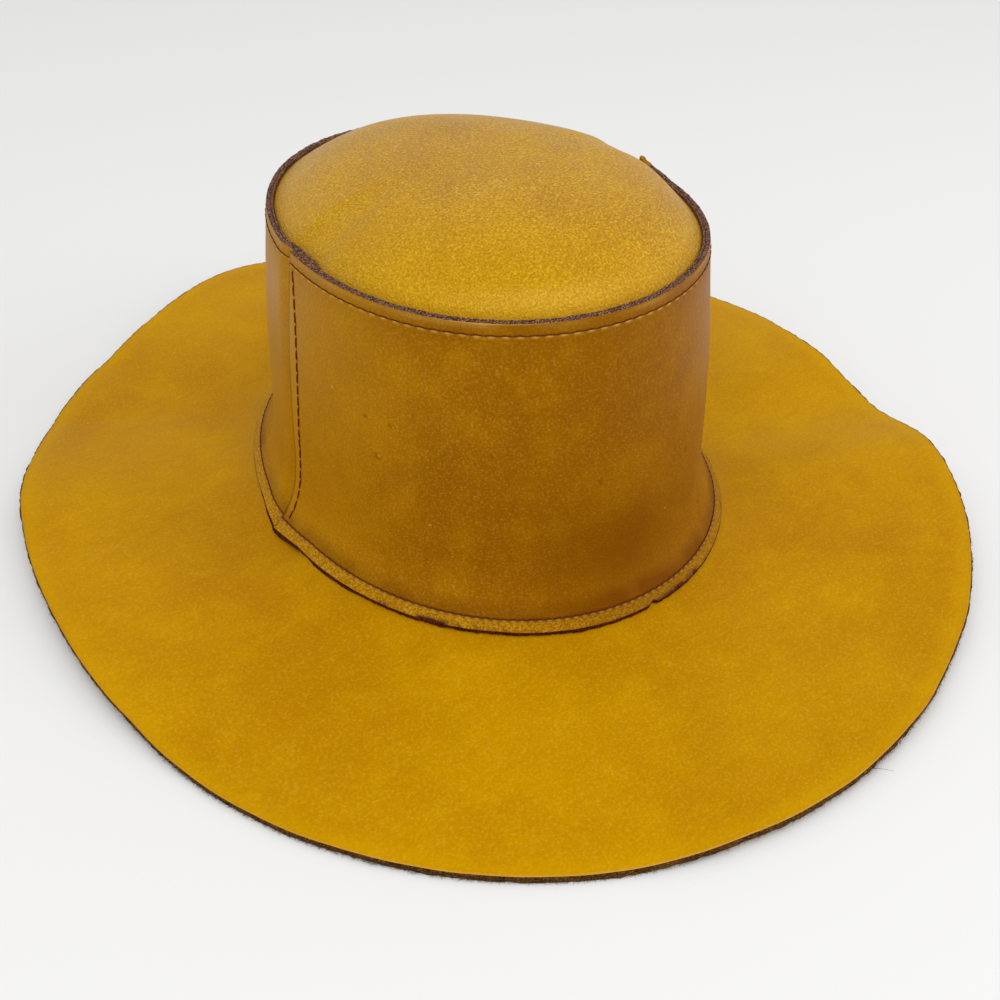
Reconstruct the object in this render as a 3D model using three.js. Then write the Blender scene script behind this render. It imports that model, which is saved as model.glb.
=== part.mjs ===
// Leather hat with a flat-topped crown and a wide soft brim, lying brim down.
// Millimetres, +Z up, the front of the hat towards -Y.
// The origin is on the surface that the hat lies on, under the middle of its outline.
// Angles run round the crown in degrees: 0 is the front, 90 is +X, 180 the back and 270 -X.

import * as THREE from 'three';

// Crown: the outside of its wall at the raw top edge.
const rimLength = 172.2;
const rimWidth = 141.4;
const rimHeight = 119.8;
const rimLean = 1.4; // how much the top edge rises from the middle to the front
const rimEgg = 0.072; // how much wider the front half is than the back half, as a share

// Crown: the outside of its wall on the sewn line round the head.
const headLength = 202;
const headWidth = 164.2;
const headHeight = 15;
const headLean = -1.9;
const headEgg = 0.062;

// Crown: the skirt outside the sewn line, which lies on the brim.
const skirtReach = 3.6;
const skirtFall = 3.9;

// Crown: the two side seams, where the front panel laps over the back panel.
const rightSeamAngle = 85.5;
const leftSeamAngle = 262.5;
const lapWidth = 10;
const rampWidth = 20; // what the leather takes beside a lap to come back from under or over it
const cornerRise = 3; // the front panel's corner that stands above the top edge at the right seam
const cornerWidth = 8;

// Tip: the domed oval that closes the crown.
const domeHeight = 18.8; // above the top edge
const domeFullness = 3.2; // exponent: the larger, the flatter the middle and the rounder the shoulder
const domeTilt = 2.4; // how much fuller the dome is on the right than in the middle
const grooveDepth = 1; // between the tip's own turned-up edge and its dome
const grooveWidth = 0.3;
const tipTurnUp = 8; // height of the edge that is turned up inside the wall

// Brim.
const brimLength = 393.8;
const brimWidth = 350.2;
const brimShiftX = 2.4; // the brim's outline stands a little off the middle of the crown
const brimShiftY = 0.6;
const brimSeat = 3.6; // underside of the brim near the crown, above the surface
const collarEase = 5; // how far out the turned-up inner edge takes to level off
const waveHeight = 12; // highest lift of the brim's edge off the surface
const outlineSwing = 5; // how far the hand-cut outline strays from an oval

// Leather.
const crownLeather = 1.6;
const brimLeather = 2.4;
const sewnClearance = 0.3; // between two sewn pieces

// The wall from its top edge down to the sewn line. fall is a share of the height between the two,
// spread is a share of the growth in length and width between the two.
const wallSections = [
  { fall: 0, spread: 0 },
  { fall: 0.2, spread: 0.18 },
  { fall: 0.4, spread: 0.31 },
  { fall: 0.6, spread: 0.38 },
  { fall: 0.78, spread: 0.43 },
  { fall: 0.88, spread: 0.54 },
  { fall: 0.95, spread: 0.74 },
  { fall: 1, spread: 1 },
];

// The waves of the brim's edge. lift is a share of waveHeight and below zero where the leather
// is pressed flat on the surface, swing is a share of outlineSwing.
const edgeWaves = [
  { angle: 0, lift: 0.25, swing: 0 },
  { angle: 20, lift: 0.42, swing: -0.2 },
  { angle: 42, lift: 0.84, swing: 0.18 },
  { angle: 58, lift: 1, swing: 0.18 },
  { angle: 70, lift: 0.42, swing: -0.66 },
  { angle: 84, lift: 0.75, swing: -0.48 },
  { angle: 108, lift: 0.33, swing: 0.52 },
  { angle: 138, lift: -0.17, swing: 0 },
  { angle: 152, lift: -0.25, swing: -0.3 },
  { angle: 180, lift: 0.58, swing: 1.04 },
  { angle: 200, lift: 0.33, swing: -0.36 },
  { angle: 218, lift: -0.25, swing: -0.4 },
  { angle: 228, lift: 0.04, swing: -0.4 },
  { angle: 243, lift: 0.59, swing: -0.26 },
  { angle: 256, lift: 0.54, swing: -0.46 },
  { angle: 268, lift: 0.46, swing: -0.42 },
  { angle: 280, lift: 0.29, swing: -0.06 },
  { angle: 292, lift: -0.01, swing: 0.56 },
  { angle: 305, lift: -0.17, swing: 0.98 },
  { angle: 320, lift: -0.2, swing: 0.98 },
  { angle: 338, lift: 0.09, swing: 0.58 },
  { angle: 352, lift: 0.21, swing: 0.18 },
];

// Rings of the brim from the skirt's edge (0) to the raw edge (1), and rings of the dome
// from the groove (1) to the middle (0).
const brimRings = [0.035, 0.09, 0.18, 0.32, 0.48, 0.64, 0.83, 1];
const domeRings = [1, 0.95, 0.88, 0.78, 0.65, 0.47, 0.25];

// Steps round the hat in each stretch between the ends of the panels.
const frontSteps = 32;
const backSteps = 28;
const lapSteps = 2;
const rampSteps = 3;

const fullTurn = 360;
const sewnRow = wallSections.length - 1;
const skirtRow = sewnRow + 1;
const collarTopRow = sewnRow - 2; // the brim's inner edge reaches this section of the wall
const sewnLayer = crownLeather + sewnClearance;
const probe = 0.01; // step used to measure a surface's slope

const radians = THREE.MathUtils.degToRad;
const mix = THREE.MathUtils.lerp;

// A point on an egg-shaped oval of the given half length and half width.
function ovalPoint(angle, halfLength, halfWidth, egg, height) {
  const turn = radians(angle);
  const x = halfWidth * Math.sin(turn) * (1 + egg * Math.cos(turn));
  return new THREE.Vector3(x, -halfLength * Math.cos(turn), height);
}

// A value of a list at a place between its items, on a smooth curve through them.
function alongList(values, place) {
  const first = Math.min(Math.max(Math.floor(place), 0), values.length - 2);
  const pick = (index) => values[Math.min(Math.max(index, 0), values.length - 1)];
  const share = place - first;
  const slopeA = (pick(first + 1) - pick(first - 1)) / 2;
  const slopeB = (pick(first + 2) - pick(first)) / 2;
  return hermite(pick(first), pick(first + 1), slopeA, slopeB, share);
}

function hermite(from, to, slopeFrom, slopeTo, share) {
  const squared = share * share;
  const cubed = squared * share;
  return (
    from * (2 * cubed - 3 * squared + 1) +
    slopeFrom * (cubed - 2 * squared + share) +
    to * (3 * squared - 2 * cubed) +
    slopeTo * (cubed - squared)
  );
}

// The outside of the crown's wall. row 0 is the top edge, sewnRow the sewn line
// and skirtRow the edge of the skirt.
function wallPoint(angle, row) {
  const onWall = Math.min(row, sewnRow);
  const outside = Math.max(row - sewnRow, 0);
  const spread = alongList(wallSections.map((section) => section.spread), onWall);
  const fall = alongList(wallSections.map((section) => section.fall), onWall);
  const lean = Math.cos(radians(angle));
  const top = rimHeight + rimLean * lean;
  const bottom = headHeight + headLean * lean;
  return ovalPoint(
    angle,
    mix(rimLength, headLength, spread) / 2 + skirtReach * outside,
    mix(rimWidth, headWidth, spread) / 2 + skirtReach * outside,
    mix(rimEgg, headEgg, spread),
    mix(top, bottom, fall) - skirtFall * outside,
  );
}

// The direction that a surface faces, away from the hollow of the hat.
function facing(surface, angle, row) {
  const round = surface(angle + probe, row).sub(surface(angle - probe, row));
  const down = surface(angle, row + probe).sub(surface(angle, row - probe));
  return down.cross(round).normalize();
}

// The wall's outside moved inwards by a depth.
function underWall(angle, row, depth) {
  return wallPoint(angle, row).addScaledVector(facing(wallPoint, angle, row), -depth);
}

// How many degrees a length takes round the wall, near a side seam.
function degreesFor(length) {
  return THREE.MathUtils.radToDeg(length / (rimLength / 2));
}

const lapAngle = degreesFor(lapWidth);
const rampAngle = degreesFor(rampWidth);
const backStart = rightSeamAngle - lapAngle;
const backEnd = leftSeamAngle + lapAngle;
const frontEnd = rightSeamAngle + fullTurn;

function evenSteps(from, to, count) {
  return Array.from({ length: count }, (_, step) => mix(from, to, step / count));
}

// Every piece has its vertices at these angles, so that the layers lie parallel.
const lapRight = evenSteps(backStart, rightSeamAngle, lapSteps);
const backOnly = [
  ...evenSteps(rightSeamAngle, rightSeamAngle + rampAngle, rampSteps),
  ...evenSteps(rightSeamAngle + rampAngle, leftSeamAngle - rampAngle, backSteps),
  ...evenSteps(leftSeamAngle - rampAngle, leftSeamAngle, rampSteps),
];
const lapLeft = evenSteps(leftSeamAngle, backEnd, lapSteps);
const frontOnly = [
  ...evenSteps(backEnd, backEnd + rampAngle, rampSteps),
  ...evenSteps(backEnd + rampAngle, backStart + fullTurn - rampAngle, frontSteps),
  ...evenSteps(backStart + fullTurn - rampAngle, backStart + fullTurn, rampSteps),
];
const lapRightAgain = lapRight.map((angle) => angle + fullTurn);

const backAngles = [...lapRight, ...backOnly, ...lapLeft, backEnd];
const frontAngles = [...lapLeft, ...frontOnly, ...lapRightAgain, frontEnd];
const roundAngles = [...lapRight, ...backOnly, ...lapLeft, ...frontOnly];

// How far an angle is from a stretch of angles, on either side.
function outside(angle, from, to) {
  const turned = THREE.MathUtils.euclideanModulo(angle - from, fullTurn);
  const span = to - from;
  return turned <= span ? 0 : Math.min(turned - span, fullTurn - turned);
}

// 1 where the two panels lie on each other, easing to 0 on both sides.
function lapShare(angle) {
  const right = outside(angle, backStart, rightSeamAngle);
  const left = outside(angle, leftSeamAngle, backEnd);
  return 1 - THREE.MathUtils.smoothstep(Math.min(right, left), 0, rampAngle);
}

// The back panel comes in by one layer to pass under the front panel's ends, and the tip's
// turned-up edge and the brim's collar by one layer everywhere and by two under a lap.
function backDepth(angle) {
  return lapShare(angle) * sewnLayer;
}

function innerDepth(angle) {
  return (1 + lapShare(angle)) * sewnLayer;
}

// Lift and swing of the brim's edge at any angle, on a smooth curve through the waves' rows.
function edgeWave(angle, column) {
  const turned = THREE.MathUtils.euclideanModulo(angle, fullTurn);
  const count = edgeWaves.length;
  const after = edgeWaves.findIndex((wave) => wave.angle > turned);
  const start = (after === -1 ? count : after) - 1;
  const rowAt = (offset) => {
    const index = start + offset;
    const wave = edgeWaves[THREE.MathUtils.euclideanModulo(index, count)];
    return { angle: wave.angle + fullTurn * Math.floor(index / count), value: wave[column] };
  };
  const [before, from, to, next] = [rowAt(-1), rowAt(0), rowAt(1), rowAt(2)];
  const span = to.angle - from.angle;
  const slopeFrom = (span * (to.value - before.value)) / (to.angle - before.angle);
  const slopeTo = (span * (next.value - from.value)) / (next.angle - from.angle);
  return hermite(from.value, to.value, slopeFrom, slopeTo, (turned - from.angle) / span);
}

function brimEdge(angle) {
  const swing = outlineSwing * edgeWave(angle, 'swing');
  const edge = ovalPoint(angle, brimLength / 2 + swing, brimWidth / 2 + swing, 0, 0);
  edge.x += brimShiftX;
  edge.y += brimShiftY;
  return edge;
}

// The top of the brim. Up to skirtRow it is the collar, turned up under the crown's skirt,
// and from skirtRow to skirtRow + 1 it is the open brim out to the raw edge.
function brimPoint(angle, row) {
  const root = underWall(angle, Math.min(row, skirtRow), innerDepth(angle));
  if (row <= skirtRow) {
    return root;
  }
  const share = row - skirtRow;
  const edge = brimEdge(angle);
  const seatTop = brimSeat + brimLeather;
  const edgeTop = waveHeight * edgeWave(angle, 'lift') + brimLeather;
  const distance = share * Math.hypot(edge.x - root.x, edge.y - root.y);
  const collar = (root.z - seatTop) * Math.exp(-distance / collarEase);
  const height = mix(seatTop, edgeTop, share) + collar;
  const top = new THREE.Vector3(mix(root.x, edge.x, share), mix(root.y, edge.y, share), height);
  top.z = Math.max(top.z, brimLeather);
  return top;
}

// The underside of the brim, one leather below its top and never below the surface.
function brimUnder(angle, row) {
  const under = brimPoint(angle, row).addScaledVector(facing(brimPoint, angle, row), -brimLeather);
  under.z = Math.max(under.z, 0);
  return under;
}

// A closed body from one loop of points at each angle. A loop runs out along the outer face
// and back along the inner face, with as many points on each.
function sweepBody(loops, goesRound) {
  const size = loops[0].length;
  const index = [];
  const last = goesRound ? loops.length : loops.length - 1;
  const at = (turn, place) => (turn % loops.length) * size + (place % size);
  const quad = (a, b, c, d) => index.push(a, b, c, a, c, d);
  for (let turn = 0; turn < last; turn += 1) {
    for (let place = 0; place < size; place += 1) {
      quad(at(turn, place), at(turn, place + 1), at(turn + 1, place + 1), at(turn + 1, place));
    }
  }
  if (!goesRound) {
    for (let place = 0; place < size / 2 - 1; place += 1) {
      const back = size - 1 - place;
      quad(at(0, place), at(0, back), at(0, back - 1), at(0, place + 1));
      quad(at(last, place), at(last, place + 1), at(last, back - 1), at(last, back));
    }
  }
  return indexedGeometry(loops.flat(), index);
}

// A closed body from one open path at each angle, whose two ends close on the body's middle.
function domeBody(paths, firstPole, lastPole) {
  const size = paths[0].length;
  const points = [...paths.flat(), firstPole, lastPole];
  const first = points.length - 2;
  const last = points.length - 1;
  const index = [];
  const at = (turn, place) => (turn % paths.length) * size + place;
  for (let turn = 0; turn < paths.length; turn += 1) {
    index.push(first, at(turn + 1, 0), at(turn, 0));
    for (let place = 0; place < size - 1; place += 1) {
      index.push(at(turn, place), at(turn + 1, place + 1), at(turn, place + 1));
      index.push(at(turn, place), at(turn + 1, place), at(turn + 1, place + 1));
    }
    index.push(at(turn, size - 1), at(turn + 1, size - 1), last);
  }
  return indexedGeometry(points, index);
}

function indexedGeometry(points, index) {
  const geometry = new THREE.BufferGeometry();
  geometry.setFromPoints(points);
  geometry.setIndex(index);
  geometry.computeVertexNormals();
  return geometry;
}

function leather(color, roughness) {
  return new THREE.MeshStandardMaterial({ color, roughness, metalness: 0 });
}

function piece(name, geometry, material) {
  const mesh = new THREE.Mesh(geometry, material);
  mesh.name = name;
  return mesh;
}

// One crown panel: a sheet from the top edge to the skirt's edge.
function panelBody(angles, depth, lift) {
  const rows = Array.from({ length: skirtRow + 1 }, (_, row) => row);
  const at = (angle, row, inner) => {
    const point = underWall(angle, row, depth(angle) + inner);
    point.z += row === 0 ? lift(angle) : 0;
    return point;
  };
  const loops = angles.map((angle) => [
    ...rows.map((row) => at(angle, row, 0)),
    ...rows.map((row) => at(angle, row, crownLeather)).reverse(),
  ]);
  return sweepBody(loops, false);
}

function frontPanel() {
  const cornerAngle = degreesFor(cornerWidth);
  const corner = (angle) => cornerRise * Math.max(1 - (frontEnd - angle) / cornerAngle, 0);
  return piece('crown_front_panel', panelBody(frontAngles, () => 0, corner), leather(0x9c680c, 0.5));
}

function backPanel() {
  return piece('crown_back_panel', panelBody(backAngles, backDepth, () => 0), leather(0x9c680c, 0.5));
}

// The tip: its edge is turned up inside the wall, folds back on itself and runs into the dome.
function crownTip() {
  const turnUpRow = tipTurnUp / ((rimHeight - headHeight) * wallSections[1].fall);
  const foldDepth = 2 * crownLeather + grooveWidth;
  const grooveDistance = crownLeather + grooveWidth;
  const rise = domeHeight + grooveDepth;
  const domeTop = (angle, ring) => {
    const tilt = domeTilt * ring * Math.sin(radians(angle));
    return (rise + tilt) * (1 - ring ** domeFullness) - grooveDepth;
  };
  const inwards = (point, distance, height) => {
    const reach = Math.hypot(point.x, point.y);
    const share = (reach - distance) / reach;
    return new THREE.Vector3(point.x * share, point.y * share, height);
  };
  const paths = roundAngles.map((angle) => {
    const edge = underWall(angle, 0, innerDepth(angle));
    const fold = underWall(angle, turnUpRow, innerDepth(angle));
    const groove = inwards(edge, grooveDistance, edge.z);
    const onDome = (ring, drop) => {
      const height = mix(rimHeight, edge.z, ring) + domeTop(angle, ring) - drop;
      return new THREE.Vector3(groove.x * ring, groove.y * ring, height);
    };
    const under = domeRings.slice(1).map((ring) => {
      const slope = (rise * domeFullness * ring ** (domeFullness - 1)) / (rimWidth / 2);
      return onDome(ring, crownLeather * Math.hypot(1, slope));
    });
    return [
      ...under.reverse(),
      inwards(fold, foldDepth, fold.z),
      fold,
      edge,
      inwards(edge, crownLeather, edge.z),
      ...domeRings.map((ring) => onDome(ring, 0)),
    ];
  });
  const middleTop = new THREE.Vector3(0, 0, rimHeight + domeHeight);
  const middleUnder = new THREE.Vector3(0, 0, middleTop.z - crownLeather);
  return piece('crown_tip', domeBody(paths, middleUnder, middleTop), leather(0xb98710, 0.5));
}

function brim() {
  const rows = [collarTopRow, collarTopRow + 1, sewnRow, skirtRow];
  rows.push(...brimRings.map((ring) => skirtRow + ring));
  const loops = roundAngles.map((angle) => [
    ...rows.map((row) => brimPoint(angle, row)),
    ...rows.map((row) => brimUnder(angle, row)).reverse(),
  ]);
  return piece('brim', sweepBody(loops, true), leather(0xb5830e, 0.55));
}

const hat = new THREE.Group();
hat.add(brim(), frontPanel(), backPanel(), crownTip());

const middle = new THREE.Box3().setFromObject(hat).getCenter(new THREE.Vector3());
hat.position.set(-middle.x, -middle.y, 0);

export default hat;
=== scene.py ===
import bpy
import numpy as np
from mathutils import Matrix, Vector


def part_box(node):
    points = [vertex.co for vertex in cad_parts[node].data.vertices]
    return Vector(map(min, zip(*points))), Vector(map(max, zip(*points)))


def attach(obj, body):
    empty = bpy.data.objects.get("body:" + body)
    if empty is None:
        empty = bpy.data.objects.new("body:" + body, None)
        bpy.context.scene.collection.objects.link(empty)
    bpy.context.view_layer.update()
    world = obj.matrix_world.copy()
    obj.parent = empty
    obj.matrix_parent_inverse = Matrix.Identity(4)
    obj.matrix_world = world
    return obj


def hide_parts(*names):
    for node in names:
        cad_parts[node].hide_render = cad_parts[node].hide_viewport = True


# Leather hat with a flat-topped crown and a wide soft brim, lying brim down.
# Shapes are worked out in millimetres round the middle of the crown and turned to metres in the mesh.
# Angles run round the crown in degrees: 0 is the front, 90 is +X, 180 the back and 270 -X.
# A row runs down the crown: 0 is its raw top edge, 7 the sewn line round the head, 8 the skirt's edge.

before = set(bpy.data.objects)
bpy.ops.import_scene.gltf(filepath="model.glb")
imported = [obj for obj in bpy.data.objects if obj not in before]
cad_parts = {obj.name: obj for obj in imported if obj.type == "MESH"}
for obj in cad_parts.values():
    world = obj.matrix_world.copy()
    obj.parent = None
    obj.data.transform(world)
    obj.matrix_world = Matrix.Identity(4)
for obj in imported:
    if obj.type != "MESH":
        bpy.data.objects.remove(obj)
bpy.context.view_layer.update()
print("frame loaded")

crown = {
    "rimLength": 172.2,  # outside of the wall at its raw top edge
    "rimWidth": 141.4,
    "rimHeight": 119.8,
    "rimLean": 1.4,  # rise of the top edge from the middle to the front
    "rimEgg": 0.072,  # how much wider the front half is than the back half, as a share
    "headLength": 202.0,  # outside of the wall on the sewn line
    "headWidth": 164.2,
    "headHeight": 15.0,
    "headLean": -1.9,
    "headEgg": 0.062,
    "skirtReach": 3.6,
    "skirtFall": 3.9,
    "skirtSettle": 3.2,  # fall of a longer skirt that lies down on the brim
    "settleEase": 5.0,
    "falls": (0, 0.2, 0.4, 0.6, 0.78, 0.88, 0.95, 1),  # rows from the top edge to the sewn line
    "spreads": (0, 0.18, 0.31, 0.38, 0.43, 0.54, 0.74, 1),
    "rightSeam": 85.5,
    "leftSeam": 263.7,
    "lapWidth": 10.0,
    "rampWidth": 9.0,
    "leather": 1.6,
    "clearance": 0.3,  # between two sewn pieces
    "softDent": 0.4,  # slow swells and hollows of the soft wall
    "softDentSize": 55.0,
    "smallDent": 0.12,
    "smallDentSize": 17.0,
}
sewnRow = len(crown["falls"]) - 1
skirtRow = sewnRow + 1
sewnLayer = crown["leather"] + crown["clearance"]
mmPerDegree = np.radians(crown["rimLength"] / 2)
lapAngle = crown["lapWidth"] / mmPerDegree
rampAngle = crown["rampWidth"] / mmPerDegree


def mix(low, high, share):
    return low + (high - low) * share


# 3t^2 - 2t^3 between two limits
def ease(value, low, high):
    share = np.clip((value - low) / (high - low), 0, 1)
    return share * share * (3 - 2 * share)


# a soft hump exp(-(value / width)^2)
def hump(value, width):
    return np.exp(-((value / width) ** 2))


# Random field between -1 and 1: a value at each corner of a cubic lattice of the given size,
# blended along the three axes by 3t^2 - 2t^3.
def softNoise(points, size, seed):
    place = points / size + 500.0
    corner = np.floor(place).astype(np.int64)
    share = ease(place - corner, 0, 1)
    total = np.zeros(points.shape[:-1])
    for offset in np.ndindex(2, 2, 2):
        key = (corner + offset) @ np.array([73856093, 19349663, 83492791]) + seed * 8191
        key = ((key ^ (key >> 13)) & 0xFFFFFFFF) * 1274126177
        value = ((key >> 15) & 0xFFFF) / 32767.5 - 1
        total += value * np.prod(np.where(offset, share, 1 - share), axis=-1)
    return total


# Egg-shaped oval: x = halfWidth sin(a) (1 + egg cos(a)), y = -halfLength cos(a).
def ovalPoint(angle, halfLength, halfWidth, egg, height):
    turn = np.radians(angle)
    x = halfWidth * np.sin(turn) * (1 + egg * np.cos(turn))
    return np.stack(np.broadcast_arrays(x, -halfLength * np.cos(turn), height), axis=-1)


# Cubic from one value to the next with a slope at each.
def hermite(start, end, slopeStart, slopeEnd, share):
    squared = share * share
    cubed = squared * share
    return (
        start * (2 * cubed - 3 * squared + 1)
        + slopeStart * (cubed - 2 * squared + share)
        + end * (3 * squared - 2 * cubed)
        + slopeEnd * (cubed - squared)
    )


# Smooth curve through a list of values, read at a place counted in items.
def alongList(values, place):
    values = np.asarray(values, float)
    first = np.clip(np.floor(place), 0, len(values) - 2).astype(int)

    def pick(index):
        return values[np.clip(index, 0, len(values) - 1)]

    slopeStart = (pick(first + 1) - pick(first - 1)) / 2
    slopeEnd = (pick(first + 2) - pick(first)) / 2
    return hermite(pick(first), pick(first + 1), slopeStart, slopeEnd, place - first)


# Outside of the crown's wall: ovals whose length, width and height follow the lists of rows.
# A skirt that is cut longer settles on the brim by settle (1 - exp(-length / ease)).
def wallPoint(angle, row):
    onWall = np.minimum(row, sewnRow)
    outside = np.maximum(row - sewnRow, 0)
    spread = alongList(crown["spreads"], onWall)
    fall = alongList(crown["falls"], onWall)
    lean = np.cos(np.radians(angle))
    top = crown["rimHeight"] + crown["rimLean"] * lean
    bottom = crown["headHeight"] + crown["headLean"] * lean
    reach = crown["skirtReach"] * outside
    beyond = np.maximum(outside - 1, 0) * crown["skirtReach"]
    settle = crown["skirtSettle"] * (1 - np.exp(-beyond / crown["settleEase"]))
    return ovalPoint(
        angle,
        mix(crown["rimLength"], crown["headLength"], spread) / 2 + reach,
        mix(crown["rimWidth"], crown["headWidth"], spread) / 2 + reach,
        mix(crown["rimEgg"], crown["headEgg"], spread),
        mix(top, bottom, fall) - crown["skirtFall"] * np.minimum(outside, 1) - settle,
    )


# Direction that a surface faces: the cross product of its slopes along row and angle.
def facing(surface, angle, row):
    probe = 0.01
    around = surface(angle + probe, row) - surface(angle - probe, row)
    down = surface(angle, row + probe) - surface(angle, row - probe)
    normal = np.cross(down, around)
    return normal / np.linalg.norm(normal, axis=-1, keepdims=True)


# The wall moved inwards by a depth, with the slow dents that all its layers share.
def underWall(angle, row, depth):
    point = wallPoint(angle, row)
    dent = crown["softDent"] * softNoise(point, crown["softDentSize"], 1)
    dent = dent + crown["smallDent"] * softNoise(point, crown["smallDentSize"], 2)
    dent = dent * ease(point[..., 2], crown["headHeight"], crown["headHeight"] + 25)
    inwards = np.asarray(depth + dent)[..., None]
    return point - inwards * facing(wallPoint, angle, row)


# 1 where the two panels lie on each other, easing to 0 on both sides.
def lapShare(angle):
    def beyond(start):
        turned = np.mod(angle - start, 360)
        return np.where(turned <= lapAngle, 0, np.minimum(turned - lapAngle, 360 - turned))

    away = np.minimum(beyond(crown["rightSeam"] - lapAngle), beyond(crown["leftSeam"]))
    return 1 - ease(away, 0, rampAngle)


def backDepth(angle):
    return lapShare(angle) * sewnLayer


def innerDepth(angle):
    return (1 + lapShare(angle)) * sewnLayer


# Length down the wall for a row, and back, measured at the front.
tableRows = np.linspace(0, skirtRow + 1.2, 961)
tableSteps = np.linalg.norm(np.diff(wallPoint(0.0, tableRows), axis=0), axis=-1)
tableDown = np.concatenate([[0], np.cumsum(tableSteps)])
wallDown = np.interp(skirtRow, tableRows, tableDown)
sewnDown = np.interp(sewnRow, tableRows, tableDown)


def rowAt(down):
    return np.interp(down, tableDown, tableRows)


# Where the hat's middle lies in the frame: the middle of the brim's outline goes on the frame's box.
brimSizes = {
    "length": 393.8,
    "width": 350.2,
    "shiftX": 2.4,
    "shiftY": 0.6,
    "seat": 3.6,  # underside near the crown, above the floor
    "collarEase": 5.0,
    "waveHeight": 12.0,
    "outlineSwing": 5.0,
    "leather": 2.4,
    "collarTopRow": 5,
    "swell": 0.5,  # slow unevenness of the sheet
    "swellSize": 48.0,
    "cutWander": 0.3,  # unevenness of the hand cut
    "cutWanderSize": 14.0,
    "edgeRound": 0.3,
    "edgeRough": 0.3,
    "cutSlant": 0.8,  # how far the lower side of the cut is set back
    "steepAngle": 338,  # where the cut is nearly upright
    "steepReach": 42,
    "stations": 960,
    "topRows": 28,
    "underRows": 18,
}
# angle, lift as a share of waveHeight, swing as a share of outlineSwing
edgeWaves = np.array([
    (0, 0.25, 0), (20, 0.42, -0.2), (42, 0.84, 0.18), (58, 1, 0.18), (70, 0.42, -0.66),
    (84, 0.75, -0.48), (108, 0.33, 0.52), (138, -0.17, 0), (152, -0.25, -0.3), (180, 0.58, 1.04),
    (200, 0.33, -0.36), (218, -0.25, -0.4), (228, 0.04, -0.4), (243, 0.59, -0.26),
    (256, 0.54, -0.46), (268, 0.46, -0.42), (280, 0.29, -0.06), (292, -0.01, 0.56),
    (305, -0.17, 0.98), (320, -0.2, 0.98), (338, 0.09, 0.58), (352, 0.21, 0.18),
])


# Smooth closed curve through one column of the waves' table.
def edgeWave(angle, column):
    turned = np.mod(angle, 360)
    marks = edgeWaves[:, 0]
    count = len(marks)
    start = np.searchsorted(marks, turned, side="right") - 1

    def at(offset):
        index = start + offset
        return marks[index % count] + 360 * (index // count), edgeWaves[index % count, column]

    (angleA, valueA), (angleB, valueB), (angleC, valueC), (angleD, valueD) = map(at, (-1, 0, 1, 2))
    span = angleC - angleB
    slopeStart = span * (valueC - valueA) / (angleC - angleA)
    slopeEnd = span * (valueD - valueB) / (angleD - angleB)
    return hermite(valueB, valueC, slopeStart, slopeEnd, (turned - angleB) / span)


def brimEdge(angle):
    swing = brimSizes["outlineSwing"] * edgeWave(angle, 2)
    halfLength = brimSizes["length"] / 2 + swing
    halfWidth = brimSizes["width"] / 2 + swing
    shift = np.array([brimSizes["shiftX"], brimSizes["shiftY"], 0])
    return ovalPoint(angle, halfLength, halfWidth, 0, 0.0) + shift


outline = brimEdge(np.arange(0, 360, 0.25))
outlineMiddle = (outline.min(axis=0) + outline.max(axis=0)) / 2
boxLow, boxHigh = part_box("brim")
boxMiddle = np.array((boxLow + boxHigh) / 2) * 1000
hatShift = np.array([boxMiddle[0] - outlineMiddle[0], boxMiddle[1] - outlineMiddle[1], 0])


# Top of the brim. Up to row 8 it is the collar, turned up under the skirt. Beyond it runs straight
# to the edge in plan, level in height with the waves growing evenly, plus the collar's short curve.
def brimPoint(angle, row):
    root = underWall(angle, np.minimum(row, skirtRow), innerDepth(angle))
    share = np.maximum(row - skirtRow, 0)
    edge = brimEdge(angle)
    seatTop = brimSizes["seat"] + brimSizes["leather"]
    edgeTop = brimSizes["waveHeight"] * edgeWave(angle, 1) + brimSizes["leather"]
    reach = np.hypot(edge[..., 0] - root[..., 0], edge[..., 1] - root[..., 1])
    collar = (root[..., 2] - seatTop) * np.exp(-share * reach / brimSizes["collarEase"])
    plan = root[..., :2] + (edge[..., :2] - root[..., :2]) * share[..., None]
    flat = np.concatenate([plan, np.zeros_like(plan[..., :1])], axis=-1)
    swell = brimSizes["swell"] * softNoise(flat, brimSizes["swellSize"], 5) * ease(share, 0, 0.3)
    height = mix(seatTop, edgeTop, share) + collar + swell
    height = np.where(row <= skirtRow, root[..., 2], height)
    height = np.maximum(height, brimSizes["leather"])
    return np.concatenate([plan, height[..., None]], axis=-1)


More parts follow.
